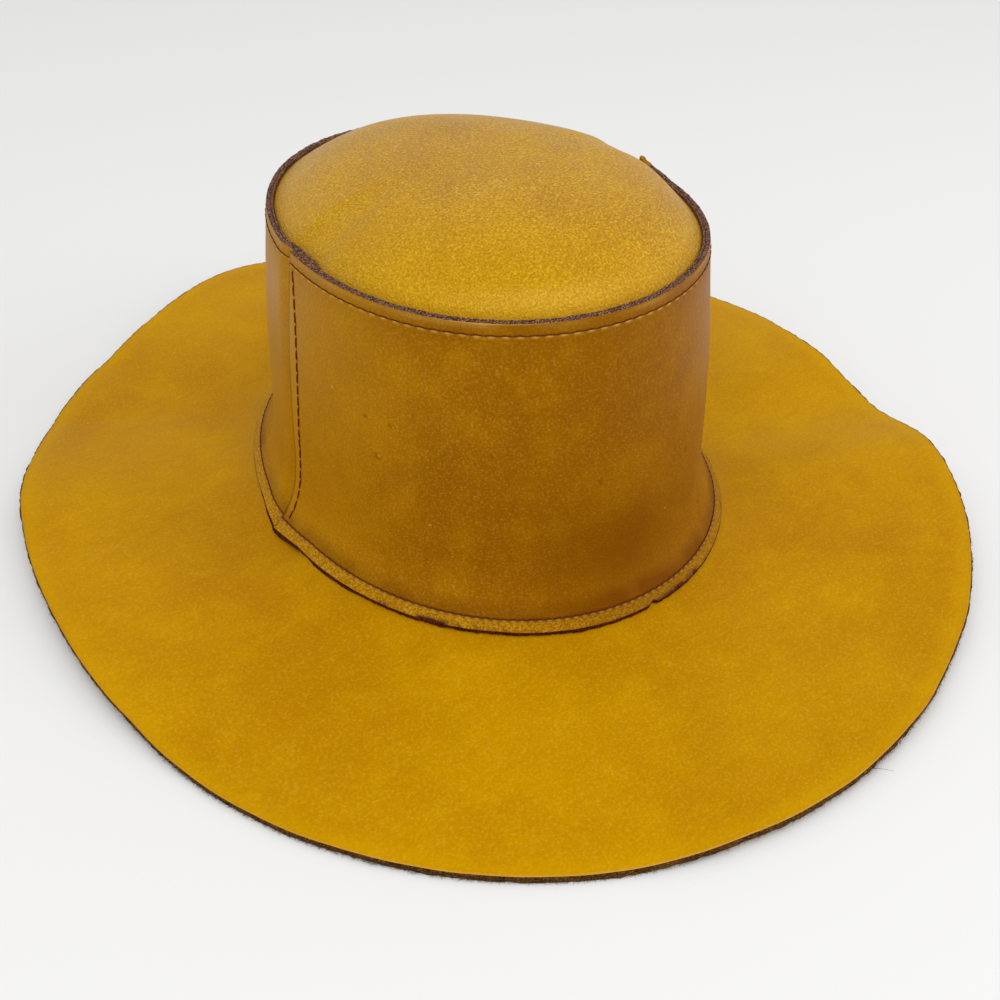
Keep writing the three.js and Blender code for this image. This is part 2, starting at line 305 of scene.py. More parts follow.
# A mesh piece over a grid of points. loops[i, j] is point j of the loop at station i, running out
# along the outer face and back along the inner face. tones holds the finish of each strip of faces
# between two places of a loop. Open ends are closed by quads between the two faces, and a loop
# that starts and ends on the middle line is closed by poles.
def skinPiece(name, loops, goesRound, tones, materials, poles=None, fields=None):
    stations, size = loops.shape[:2]
    index = np.arange(stations * size).reshape(stations, size)
    ahead = np.roll(index, -1, axis=0)
    if not goesRound:
        index, ahead = index[:-1], ahead[:-1]
    if poles is None:
        quads = [index, np.roll(index, -1, 1), np.roll(ahead, -1, 1), ahead]
    else:
        quads = [index[:, :-1], index[:, 1:], ahead[:, 1:], ahead[:, :-1]]
    tones = np.broadcast_to(tones, (stations, size))
    stripTones = tones[: quads[0].shape[0], : quads[0].shape[1]]
    faces = np.stack(quads, axis=-1).reshape(-1, 4)
    faceTones = [stripTones.reshape(-1)]
    if not goesRound:
        near = np.arange(size // 2 - 1)
        far = size - 1 - near
        ends = [np.stack([near, far, far - 1, near + 1], axis=-1)]
        ends.append(np.stack([near, near + 1, far - 1, far], axis=-1) + (stations - 1) * size)
        faces = np.concatenate([faces] + ends)
        faceTones.append(np.zeros(2 * len(near)))
    faces = faces.tolist()
    points = loops.reshape(-1, 3)
    if poles is not None:
        first, last = len(points), len(points) + 1
        points = np.concatenate([points, poles])
        around = np.roll(index[:, 0], -1)
        faces += np.stack([np.full(stations, first), index[:, 0], around], axis=-1).tolist()
        around = np.roll(index[:, -1], -1)
        faces += np.stack([index[:, -1], np.full(stations, last), around], axis=-1).tolist()
        faceTones += [tones[:, 0], tones[:, -1]]
    piece = meshPiece(name, points, faces, np.concatenate(faceTones), materials)
    for field, values in (fields or {}).items():
        spread = np.zeros(len(points), np.float32)
        spread[: values.size] = values.reshape(-1)
        attribute = piece.data.attributes.new(field, "FLOAT", "POINT")
        attribute.data.foreach_set("value", spread)
    return piece


def meshPiece(name, points, faces, faceTones, materials):
    mesh = bpy.data.meshes.new(name)
    mesh.from_pydata((points + hatShift) * 0.001, [], faces)
    for material in materials:
        mesh.materials.append(material)
    mesh.polygons.foreach_set("material_index", np.asarray(faceTones, np.int32))
    mesh.polygons.foreach_set("use_smooth", np.ones(len(mesh.polygons), bool))
    mesh.update()
    piece = bpy.data.objects.new(name, mesh)
    bpy.context.scene.collection.objects.link(piece)
    return piece


def linear(hexColour):
    value = int(hexColour.lstrip("#"), 16)
    parts = np.array([value >> 16 & 255, value >> 8 & 255, value & 255]) / 255
    parts = np.where(parts <= 0.04045, parts / 12.92, ((parts + 0.055) / 1.055) ** 2.4)
    return (*map(float, parts), 1.0)


# Adds a node, sets its options, and fills or links its inputs.
def addNode(tree, kind, inputs=None, **options):
    node = tree.nodes.new(kind)
    for option, value in options.items():
        setattr(node, option, value)
    for key, value in (inputs or {}).items():
        if isinstance(value, bpy.types.NodeSocket):
            tree.links.new(value, node.inputs[key])
        else:
            node.inputs[key].default_value = value
    return node


def newMaterial(name):
    material = bpy.data.materials.new(name)
    material.use_nodes = True
    material.node_tree.nodes.clear()
    return material, material.node_tree


markEdge = 0.0006  # ragged rim of a scar, in metres


# Full grain cowhide, vegetable tanned, dyed by hand and oiled: warm translucent colour in clouds,
# a fine pebble of pores that catches the light, a soft sheen and no lacquer.
# Each layer mixes one tone over the colour so far, by a pattern between its two ends, by an
# attribute of the piece, or by both.
def grainLeather(name, look):
    material, tree = newMaterial(name)
    place = addNode(tree, "ShaderNodeTexCoord").outputs["Object"]
    even, slanted = (1, 1, 1), (1, 1, 1.4)
    patterns = {}
    for pattern, detail, offset, stretch, distortion in (
        ("cloud", 2.0, (0.31, 0.17, 0.05), even, 0.0),
        ("mottle", 4.0, (0.11, 0.52, 0.23), even, 0.0),
        ("streak", 3.0, (0.71, 0.12, 0.4), look["streakStretch"], 0.0),
        ("fine", 2.0, (0.2, 0.9, 0.6), even, 0.0),
        ("speck", 2.0, (0.6, 0.4, 0.9), even, 0.0),
        ("rough", 2.0, (0.5, 0.1, 0.3), slanted, 0.5),
        ("patch", 4.0, (0.4, 0.3, 0.8), even, 0.0),
        ("crease", 5.0, (0.9, 0.2, 0.1), look["streakStretch"], 0.0),
    ):
        moved = addNode(tree, "ShaderNodeMapping", {"Vector": place, "Location": offset, "Scale": stretch})
        patterns[pattern] = addNode(tree, "ShaderNodeTexNoise", {
            "Vector": moved.outputs[0], "Scale": 1000 / look["sizes"][pattern], "Detail": detail,
            "Roughness": 0.55, "Distortion": distortion,
        }).outputs["Fac"]
    pebbleInputs = {"Vector": place, "Scale": 1000 / look["sizes"]["pebble"]}
    pebble = addNode(tree, "ShaderNodeTexVoronoi", pebbleInputs, feature="F1")
    patterns["pebble"] = addNode(tree, "ShaderNodeMapRange", {
        "Value": pebble.outputs["Distance"], "From Min": 0.8, "From Max": 0.1,
    }, interpolation_type="SMOOTHSTEP").outputs[0]

    # The lit attribute paints light and the shade attribute paints shade into the colour; the
    # wear-and-highlight attribute mixes real wear with painted glints and highlights; the bright fine and
    # rough specks in the gloss tint are partly the grain's own and partly painted glints.
    layers = [  # pattern, its low and high end, attribute, strength, tone
        ("cloud", 0.3, 0.7, None, 1.0, "main"),
        ("mottle", 0.4, 0.75, None, look["mottle"], "light"),
        ("streak", 0.45, 0.75, None, look["streak"], "shaded"),
        ("fine", 0.5, 0.3, None, look["fine"], "shaded"),
        ("fine", 0.5, 0.7, None, look["fine"], "glossTint"),
        ("speck", 0.62, 0.72, None, look["speck"], "wearAndHighlightColour"),
        (None, None, None, "lit", 1.0, "light"),
        ("rough", 0.5, 0.64, "coarse", 0.32, "glossTint"),
        ("rough", 0.48, 0.36, "coarse", 0.42, "shaded"),
        (None, None, None, "shade", look["shade"], "shaded"),
        ("patch", 0.4, 0.62, "burnish", 1.0, "burnished"),
        (None, None, None, "wearAndHighlight", look["wearAndHighlight"], "wearAndHighlightColour"),
    ]
    for index, (point, radius, tone) in enumerate(look.get("marks", ())):
        away = addNode(tree, "ShaderNodeVectorMath", {0: place, 1: point}, operation="DISTANCE")
        ragged = {0: patterns["fine"], 1: 2 * markEdge, 2: away.outputs["Value"]}
        mark = f"mark{index}"
        patterns[mark] = addNode(tree, "ShaderNodeMath", ragged, operation="MULTIPLY_ADD").outputs[0]
        layers.append((mark, markEdge + radius, markEdge, None, 0.55, tone))
    layers.append(("pebble", 0.55, 0.0, None, look["poreDark"], "shaded"))

    colour = linear(look["dark"])
    for pattern, low, high, attribute, strength, tone in layers:
        factor = strength
        if pattern:
            factor = addNode(tree, "ShaderNodeMapRange", {
                "Value": patterns[pattern], "From Min": low, "From Max": high, "To Max": strength,
            }, interpolation_type="SMOOTHSTEP").outputs[0]
        if attribute:
            value = addNode(tree, "ShaderNodeAttribute", attribute_name=attribute).outputs["Fac"]
            factor = addNode(tree, "ShaderNodeMath", {0: value, 1: factor}, operation="MULTIPLY").outputs[0]
        mixed = {0: factor, 6: colour, 7: linear(look[tone])}
        colour = addNode(tree, "ShaderNodeMix", mixed, data_type="RGBA").outputs[2]

    coarse = addNode(tree, "ShaderNodeAttribute", attribute_name="coarse").outputs["Fac"]
    coarse = addNode(tree, "ShaderNodeMath", {0: coarse, 1: 7.0}, operation="MULTIPLY").outputs[0]
    relief = 0.0
    heights = {"pebble": look["pebble"], "crease": look["crease"], "fine": look["fineRelief"]}
    for pattern, height in {**heights, "rough": coarse}.items():
        added = {0: patterns[pattern], 1: height, 2: relief}
        relief = addNode(tree, "ShaderNodeMath", added, operation="MULTIPLY_ADD").outputs[0]
    bump = addNode(tree, "ShaderNodeBump", {"Height": relief, "Distance": look["relief"] * 0.001})
    roughness = addNode(tree, "ShaderNodeMapRange", {
        "Value": patterns["mottle"], "From Min": 0.3, "From Max": 0.7,
        "To Min": look["roughness"] - 0.04, "To Max": look["roughness"] + 0.05,
    }, interpolation_type="SMOOTHSTEP")
    shader = addNode(tree, "ShaderNodeBsdfPrincipled", {
        "Base Color": colour,
        "Roughness": roughness.outputs[0],
        "Normal": bump.outputs[0],
        "IOR": 1.5,
        "Specular IOR Level": look["specular"],
        "Specular Tint": linear(look["glossTint"]),
        "Sheen Weight": look["sheen"],
        "Sheen Roughness": 0.4,
        "Sheen Tint": linear(look["sheenTint"]),
    })
    addNode(tree, "ShaderNodeOutputMaterial", {"Surface": shader.outputs[0]})
    return material


# Bare leather where it was cut or never polished: matt, with short fibres standing in two tones.
def bareLeather(name, look):
    material, tree = newMaterial(name)
    place = addNode(tree, "ShaderNodeTexCoord").outputs["Object"]
    heights = []
    for size in (look["fibreSize"], look["patchSize"]):
        inputs = {"Vector": place, "Scale": 1000 / size, "Detail": 3.0, "Roughness": 0.65}
        heights.append(addNode(tree, "ShaderNodeTexNoise", inputs).outputs["Fac"])
    colour = linear(look["dark"])
    for height, low, high, tone in ((heights[1], 0.4, 0.6, "main"), (heights[0], 0.5, 0.66, "light")):
        factor = addNode(tree, "ShaderNodeMapRange", {"Value": height, "From Min": low, "From Max": high})
        mixed = {0: factor.outputs[0], 6: colour, 7: linear(look[tone])}
        colour = addNode(tree, "ShaderNodeMix", mixed, data_type="RGBA").outputs[2]
    bump = addNode(tree, "ShaderNodeBump", {"Height": heights[0], "Distance": look["relief"] * 0.001})
    shader = addNode(tree, "ShaderNodeBsdfPrincipled", {
        "Base Color": colour,
        "Roughness": look["roughness"],
        "Normal": bump.outputs[0],
        "IOR": 1.5,
        "Specular IOR Level": look["specular"],
        "Sheen Weight": look["sheen"],
        "Sheen Roughness": 0.5,
        "Sheen Tint": linear(look["light"]),
    })
    addNode(tree, "ShaderNodeOutputMaterial", {"Surface": shader.outputs[0]})
    return material


# Colours, strengths between 0 and 1, relief and pattern sizes in millimetres.
brimLook = {
    "dark": "#AE7800", "main": "#BA8600", "light": "#C69600", "shaded": "#8E5C00",
    "wearAndHighlightColour": "#D8A860", "burnished": "#6A4238", "glossTint": "#F0C840", "sheenTint": "#E8C88A",
    "mottle": 0.35, "streak": 0.12, "streakStretch": (0.3, 1, 1), "fine": 0.12, "speck": 0.03,
    "shade": 0.7, "wearAndHighlight": 0.4, "poreDark": 0.08,
    "pebble": 0.4, "crease": 1.0, "fineRelief": 0.6, "relief": 0.12,
    "roughness": 0.5, "specular": 0.07, "sheen": 0.0,
    "sizes": {
        "cloud": 70, "mottle": 16, "streak": 3, "fine": 1, "speck": 1.6, "rough": 0.9, "patch": 9,
        "crease": 5, "pebble": 1,
    },
}
wallLook = {
    "dark": "#925C00", "main": "#A46E00", "light": "#B88400", "shaded": "#6E3C00",
    "wearAndHighlightColour": "#E2B45C", "burnished": "#481A18", "glossTint": "#E8B850", "sheenTint": "#E8C890",
    "mottle": 0.35, "streak": 0.14, "streakStretch": (1, 1, 0.25), "fine": 0.16, "speck": 0.03,
    "shade": 0.8, "wearAndHighlight": 1.0, "poreDark": 0.08,
    "pebble": 0.35, "crease": 1.0, "fineRelief": 0.6, "relief": 0.12,
    "roughness": 0.45, "specular": 0.1, "sheen": 0.06,
    "sizes": {**brimLook["sizes"], "cloud": 60, "mottle": 14, "fine": 0.8},
}
tipLook = {
    "dark": "#AC7800", "main": "#BE8C00", "light": "#CC9C00", "shaded": "#8A5A00",
    "wearAndHighlightColour": "#E0B448", "burnished": "#5A3430", "glossTint": "#F0C840", "sheenTint": "#E8C8A0",
    "mottle": 0.3, "streak": 0.05, "streakStretch": (1, 0.4, 1), "fine": 0.5, "speck": 0.05,
    "shade": 0.8, "wearAndHighlight": 0.5, "poreDark": 0.35,
    "pebble": 1.0, "crease": 0.8, "fineRelief": 2.4, "relief": 0.2,
    "roughness": 0.36, "specular": 0.35, "sheen": 0.02,
    "sizes": {**brimLook["sizes"], "cloud": 40, "mottle": 12, "fine": 0.85, "crease": 3.5, "pebble": 0.8},
}
cutLook = {
    "dark": "#241002", "main": "#452A0C", "light": "#8A6026", "fibreSize": 0.45, "patchSize": 4.0,
    "relief": 0.3, "roughness": 0.9, "specular": 0.1, "sheen": 0.0,
}
rimCutLook = {
    "dark": "#2E1006", "main": "#54301C", "light": "#B08468", "fibreSize": 0.5, "patchSize": 3.0,
    "relief": 0.35, "roughness": 0.75, "specular": 0.2, "sheen": 0.0,
}
skirtCutLook = {
    "dark": "#2C0600", "main": "#481006", "light": "#7A3A28", "fibreSize": 0.5, "patchSize": 5.0,
    "relief": 0.25, "roughness": 0.8, "specular": 0.1, "sheen": 0.0,
}
fibreLook = {
    "dark": "#3A200A", "main": "#6A4A1C", "light": "#A8844C", "fibreSize": 0.6, "patchSize": 5.0,
    "relief": 0.05, "roughness": 0.9, "specular": 0.1, "sheen": 0.0,
}
fleshLook = {
    "dark": "#8A5E1A", "main": "#A87A26", "light": "#BE9440", "fibreSize": 0.8, "patchSize": 9.0,
    "relief": 0.2, "roughness": 0.92, "specular": 0.2, "sheen": 0.15,
}


# Small scars and nicks on the front panel: angle, way down the wall, radius in millimetres, tone.
wallMarks = (
    (-65.0, 56.6, 2.4, "shaded"), (-64.6, 56.2, 0.9, "wearAndHighlightColour"), (-37.5, 46.4, 1.2, "shaded"),
    (-37.2, 45.8, 0.5, "wearAndHighlightColour"), (-68.0, 42.6, 1.6, "shaded"), (-61.5, 42.7, 1.6, "shaded"),
    (-52.0, 78.0, 0.9, "wearAndHighlightColour"), (-78.0, 38.0, 0.8, "wearAndHighlightColour"), (-12.0, 60.0, 1.8, "shaded"),
    (18.0, 66.0, 1.6, "shaded"), (10.0, 84.0, 0.7, "wearAndHighlightColour"),
)


def markPoint(angle, down):
    return Vector(((wallPoint(angle, rowAt(down)) + hatShift) * 0.001).tolist())


wallLook["marks"] = [
    (markPoint(angle, down), radius * 0.001, tone) for angle, down, radius, tone in wallMarks
]

brimLeather = grainLeather("dyed_cowhide_brim", brimLook)
wallLeather = grainLeather("dyed_cowhide_wall", wallLook)
tipLeather = grainLeather("dyed_cowhide_tip", tipLook)
cutLeather = bareLeather("cut_edge_leather", cutLook)
rimCutLeather = bareLeather("worn_cut_edge_leather", rimCutLook)
skirtCutLeather = bareLeather("dyed_cut_edge_leather", skirtCutLook)
fleshLeather = bareLeather("flesh_side_leather", fleshLook)
looseFibre = bareLeather("loose_leather_fibre", fibreLook)
print("materials made")


# One half of a sheet's section, from the middle of its first edge along the outer face to the
# middle of its last edge: rounded corners of the given radius, then the places along the sheet.
def halfSection(length, along, thickness, radius):
    turn = np.radians(np.array([90, 60, 30]))
    cornerAlong = radius - radius * np.sin(turn)
    cornerInset = radius - radius * np.cos(turn)
    middle = [0.495 * thickness, 0.5 * (0.495 * thickness + radius)]
    down = np.concatenate([[0, 0], cornerAlong, along, length - cornerAlong[::-1], [length, length]])
    inset = np.concatenate([middle, cornerInset, np.zeros(len(along)), cornerInset[::-1], middle[::-1]])
    return down, inset


panelSizes = {
    "edgeRound": 0.25,
    "edgeRough": 0.26,
    "cornerRise": 3.2,
    "cornerWidth": 17.0,
    "cornerTop": 1.6,
    "raisedOver": 1.6,  # lift above which the turned edge shows the grain side
    "skirtBevel": 0.9,  # how much further the flesh side reaches at the slanted cut of the skirt
    "skirtPared": 0.8,  # share of the leather's thickness left at the skirt's edge
    "skirtWander": 0.22,
    "seamCorner": 2.6,  # how far the skirt's corners stick out at the left seam
    "seamCornerWidth": 14.0,
    "notchDepth": 1.1,
    "notchWidth": 1.3,
    "fineReach": 7.0,  # stretch beside a cut end with closer stations
    "fineStep": 0.3,
    "step": 0.64,  # between the other stations
    "rimStitchDown": 4.5,
    "rimPitch": 4.4,
    "skirtPitch": 3.1,
    "seamPitch": 4.8,
    "seamInsets": (1.8, 4.8, 6.2, 5.8, 5.0, 4.2, 3.6),  # seam stitches from the lap's edge, rim to skirt
    "sewnSag": 1.9,  # the sewn line's dip towards the left seam
    "sewnSagWidth": 18.0,
    "groove": 0.16,
    "hole": 0.3,
    "puff": 0.16,
}


def fromLeftSeam(angle):
    return np.abs(np.mod(angle - crown["leftSeam"] + 180, 360) - 180) * mmPerDegree


def sewnAt(angle):
    sag = np.maximum(1 - fromLeftSeam(angle) / panelSizes["sewnSagWidth"], 0)
    return sewnDown + panelSizes["sewnSag"] * sag


def seamInset(down):
    return alongList(panelSizes["seamInsets"], down / wallDown * (len(panelSizes["seamInsets"]) - 1))


# How much longer the skirt is cut than its even line: corners at the left seam, a notch at the
# front and the wander of the hand.
def skirtExtra(angle):
    fromSeam = fromLeftSeam(angle)
    fromFront = (np.mod(angle + 180, 360) - 180) * mmPerDegree
    corner = panelSizes["seamCorner"] * np.maximum(1 - fromSeam / panelSizes["seamCornerWidth"], 0)
    notch = panelSizes["notchDepth"] * hump(fromFront, panelSizes["notchWidth"])
    place = ovalPoint(angle, 90.0, 75.0, 0, 0.0)
    wander = softNoise(place, 24.0, 41) + 0.4 * softNoise(place, 5.0, 42)
    return corner - notch + panelSizes["skirtWander"] * wander


# Arc length round the wall at a level, as a table of angles and lengths.
def arcTable(down):
    angles = np.linspace(0, 360, 2881)
    steps = np.linalg.norm(np.diff(wallPoint(angles, rowAt(down)), axis=0), axis=-1)
    return angles, np.concatenate([[0], np.cumsum(steps)])


rimAngles, rimArcs = arcTable(panelSizes["rimStitchDown"])
rimCount = round(rimArcs[-1] / panelSizes["rimPitch"])
skirtAngles, skirtArcs = arcTable(sewnDown)
skirtCount = round(skirtArcs[-1] / panelSizes["skirtPitch"])
seamTop = panelSizes["rimStitchDown"] + 1.5
seamCount = round((sewnDown - seamTop) / panelSizes["seamPitch"])


# Relief of a row of stitches, as a depth: a shallow groove, a dimple at each hole and a swelling
# between two holes beside the thread. across is the distance from the row, place counts stitches.
def rowRelief(across, place, pitch):
    toHole = (place - np.round(place)) * pitch
    groove = panelSizes["groove"] * hump(across, 0.6)
    hole = panelSizes["hole"] * hump(np.hypot(across, toHole), 0.55)
    puff = panelSizes["puff"] * hump(across - 1.2, 0.8) * np.sin(np.pi * place) ** 2
    return groove + hole - puff


def stitchPlaces(angle):
    turned = np.mod(angle, 360)
    rimPlace = np.interp(turned, rimAngles, rimArcs) / rimArcs[-1] * rimCount
    return rimPlace, np.interp(turned, skirtAngles, skirtArcs) / skirtArcs[-1] * skirtCount


def wallRelief(angle, down, isFront):
    rimPlace, skirtPlace = stitchPlaces(angle)
    depth = rowRelief(down - panelSizes["rimStitchDown"], rimPlace, panelSizes["rimPitch"])
    depth = depth + rowRelief(down - sewnAt(angle), skirtPlace, panelSizes["skirtPitch"])
    if isFront:
        seamPlace = (down - seamTop) / (sewnDown - seamTop) * seamCount
        inRow = ease(seamPlace, -0.3, 0) * ease(seamCount - seamPlace, -0.3, 0)
        fromStart = (angle - crown["leftSeam"]) * mmPerDegree - seamInset(down)
        fromEnd = (crown["rightSeam"] + 360 - angle) * mmPerDegree - seamInset(down)
        depth = depth + inRow * rowRelief(fromStart, seamPlace, panelSizes["seamPitch"])
        depth = depth + inRow * rowRelief(fromEnd, seamPlace, panelSizes["seamPitch"])
    return depth


# Angles from one cut end of a panel to the other, closer together beside both ends.
def panelStations(start, end):
    reach = (end - start) * mmPerDegree
    rounding = [0, 0.05, 0.14, 0.27]
    fine = np.concatenate([rounding, np.arange(0.45, panelSizes["fineReach"], panelSizes["fineStep"])])
    count = int((reach - 2 * fine[-1]) / panelSizes["step"])
    middle = np.linspace(fine[-1], reach - fine[-1], count)[1:-1]
    return start + np.concatenate([fine, middle, reach - fine[::-1]]) / mmPerDegree


toneSizes = {
    "seamStretch": (-9, -1),  # stretch above the sewn line that is handled and creased
    "seamShade": 0.6,
    "lapShade": 1.3,  # painted shadow beside the lap's edge
    "lapGloss": 0.3,  # painted sheen: lighter strip between the lap's edge and its stitches
    "grooveShade": 0.35,
    "sideShade": 0.45,  # painted shade: the right side, turned away from the light, darker
    "rimShade": 0.3,
    "rimShadeReach": 9,
    # painted shade in patches low on the right: angle, way down, width round, width down, strength
    "shadePatches": ((-21.5, 88, 26, 26, 0.25), (-2, 92, 24.04, 20, 0.5)),
    "stitchShine": ((0.24, 0.26, 0.8), (0.45, 0.32, 0.4)),  # painted glint below each stitch; rim, skirt: below the row, width, strength
    "rimWear": 0.2,
    "cornerShine": (-38, 16, 0.9),  # angle, width, strength of the painted highlight, with some rubbed wear, on the top edge at the front
    # painted sheen over the skirt, then painted light on the left side
    "skirtLight": 0.7,
    "leftLight": 0.45,
    "burnishes": ((-52, 14), (12, 10)),  # angle and width of the burnished stretches of the skirt
    "skirtCoarse": 0.95,
}


# Where the wall is darker, rubbed, lighter, burnished or coarser: sums of soft humps round
# the rows of stitches, the edges and a few patches. Much of it is painted light and shade: shade
# beside the lap, in the sewn groove, on the right side and in patches low on the right; light on
# the left side and over the skirt, a sheen beside the lap, glints below the stitches and a
# highlight on the top edge at the front.
def wallTones(angle, downs, fromEnd, isFront, wander):
    rimPlace, skirtPlace = stitchPlaces(angle)
    fromSewn = downs - sewnAt(angle)
    fromRow = downs - panelSizes["rimStitchDown"]
    toEdge = wallDown - downs
    signed = np.mod(angle + 180, 360) - 180
    patchy = 0.5 + 0.5 * wander
    onSkirt = ease(fromSewn, 0.3, 1.2)
    aboveSeam = ease(fromSewn, *toneSizes["seamStretch"]) * (1 - onSkirt)
    behindLap = np.mod(crown["leftSeam"] - angle, 360) * mmPerDegree
    # painted shadow beside the lap's edge and a painted sheen between it and its stitches
    lapLine = hump(fromEnd, 0.8) if isFront else hump(behindLap - 0.3, 0.9)
    lapGloss = ease(seamInset(downs) - fromEnd, 0, 0.6) * isFront * (signed < 0)
    shade = toneSizes["seamShade"] * aboveSeam * (0.5 + patchy) + toneSizes["lapShade"] * lapLine
    shade = shade + toneSizes["grooveShade"] * hump(fromSewn, 0.5)
    # painted shade on the right side, turned away from the light
    shade = shade + toneSizes["sideShade"] * ease(signed, -50, 0) * (signed < 90)
    shade = shade + toneSizes["rimShade"] * hump(downs, toneSizes["rimShadeReach"])
    # painted shade in patches low on the right
    for middle, down, around, high, strength in toneSizes["shadePatches"]:
        shade = shade + strength * hump((signed - middle) * mmPerDegree, around) * hump(downs - down, high)
    (rimBelow, rimWide, rimShine), (skirtBelow, skirtWide, skirtShine) = toneSizes["stitchShine"]
    middle, around, strength = toneSizes["cornerShine"]
    corner = hump(downs - 0.2, 0.35) * hump((signed - middle) * mmPerDegree, around)
    # painted glints below each stitch, real wear along the top edge, and a painted highlight with some wear
    # on the top edge at the front
    wearAndHighlight = rimShine * hump(fromRow - rimBelow, rimWide) * np.sin(np.pi * rimPlace) ** 2
    wearAndHighlight = wearAndHighlight + skirtShine * hump(fromSewn - skirtBelow, skirtWide) * np.sin(np.pi * skirtPlace) ** 2
    wearAndHighlight = wearAndHighlight + toneSizes["rimWear"] * hump(downs - 1.2, 0.9) * patchy
    wearAndHighlight = wearAndHighlight + strength * corner * (0.6 + 0.4 * patchy)
    # painted light on the left side and a painted sheen over the skirt
    leftLight = toneSizes["leftLight"] * (1 - ease(signed, -88, -45)) * (signed > -120)
    lit = np.maximum(toneSizes["skirtLight"] * onSkirt, leftLight) + toneSizes["lapGloss"] * lapGloss
    burnish = 0.5 * hump(toEdge, 1.1) * patchy * ease(signed, -75, -55)
    for middle, around in toneSizes["burnishes"]:
        burnish = burnish + 1.1 * hump(toEdge, 1.9) * hump(signed - middle, around)
    coarse = 0.05 + 0.25 * aboveSeam + toneSizes["skirtCoarse"] * onSkirt
    return {"shade": shade, "wearAndHighlight": wearAndHighlight, "lit": lit, "burnish": burnish * onSkirt, "coarse": coarse}


# A crown panel: the wall's own surface and the same surface one leather further in.
def crownPanel(name, start, end, depth, lift, isFront):
    angles = panelStations(start, end)
    radius = panelSizes["edgeRound"]
    thickness = crown["leather"]
    along = np.concatenate([
        np.linspace(radius, 8, 22)[:-1],
        np.linspace(8, sewnDown - 5, 36)[:-1],
        np.linspace(sewnDown - 5, wallDown - radius, 30),
    ])
    down, inset = halfSection(wallDown, along, thickness, radius)
    fromEnd = np.minimum(angles - start, end - angles) * mmPerDegree
    endInset = radius - np.sqrt(np.maximum(radius**2 - np.maximum(radius - fromEnd, 0) ** 2, 0))
    shrink = (1 - 2 * endInset / thickness)[:, None]
    half = 0.5 * thickness - (0.5 * thickness - inset[None]) * shrink
    angle = np.repeat(angles[:, None], 2 * len(down), axis=1)
    inward = np.concatenate([half, thickness - half[:, ::-1]], axis=1)
    downs = np.concatenate([down, down[::-1]])[None] * np.ones_like(angle)
    outer = np.arange(2 * len(down)) < len(down)
    relief = wallRelief(angle, downs, isFront) * outer * ease(fromEnd, 0, 0.5)[:, None]
    bevel = panelSizes["skirtBevel"] * (1 - inward / thickness)
    inward = inward * mix(1, panelSizes["skirtPared"], ease(downs, wallDown - 5, wallDown))
    cutDowns = downs + (skirtExtra(angle) - bevel) * ease(downs, wallDown - 5, wallDown)
    loops = underWall(angle, rowAt(cutDowns), depth(angle) + inward + relief)
    loops[..., 2] += lift(angle) * (1 - ease(downs, 0, 8))
    isRim, isSkirtEdge = downs < radius - 1e-6, downs > wallDown - radius + 1e-6
    isCut = isRim | isSkirtEdge
    rough = 0.7 * softNoise(loops, 1.3, 11) + 0.5 * softNoise(loops, 0.6, 12)
    ragged = (isCut | (fromEnd < radius)[:, None]) * panelSizes["edgeRough"] * rough
    loops = loops + ragged[..., None] * np.array([0.4, 0.4, 1])
    tones = np.where(outer, 0, 2)
    tones = np.where(isSkirtEdge[0] | np.roll(isSkirtEdge[0], -1), 1, tones)
    tones = np.where(isRim[0] | np.roll(isRim[0], -1), 3, tones)
    raised = (lift(angles) + 0 * angles > panelSizes["raisedOver"])[:, None]
    tones = np.where(raised & (tones == 3), 0, tones)
    fields = wallTones(angle, downs, fromEnd[:, None], isFront, softNoise(loops, 6, 43))
    fields = {key: value * outer for key, value in fields.items()}
    materials = [wallLeather, skirtCutLeather, fleshLeather, rimCutLeather]
    return skinPiece(name, loops, False, tones, materials, fields=fields)


frontEnd = crown["rightSeam"] + 360


# The corner that curls up: highest over its last bit, falling away as 1 - sqrt(distance / width).
def cornerLift(angle):
    away = np.maximum((frontEnd - angle) * mmPerDegree - panelSizes["cornerTop"], 0)
    return panelSizes["cornerRise"] * (1 - np.sqrt(np.minimum(away / panelSizes["cornerWidth"], 1)))


frontPanel = crownPanel(
    "crown_front_leather", crown["leftSeam"], frontEnd, lambda angle: 0.0,
    cornerLift, True,
)
backPanel = crownPanel(
    "crown_back_leather", crown["rightSeam"] - lapAngle, crown["leftSeam"] + lapAngle, backDepth,
    lambda angle: 0.0, False,
)
print("crown wall made")


# 1 where the brim's cut is undercut the most, near 0 where it is upright.
def cutSteepness(angle):
    turned = np.mod(angle - brimSizes["steepAngle"] + 180, 360) - 180
    return 1 - 0.9 * hump(turned, brimSizes["steepReach"])


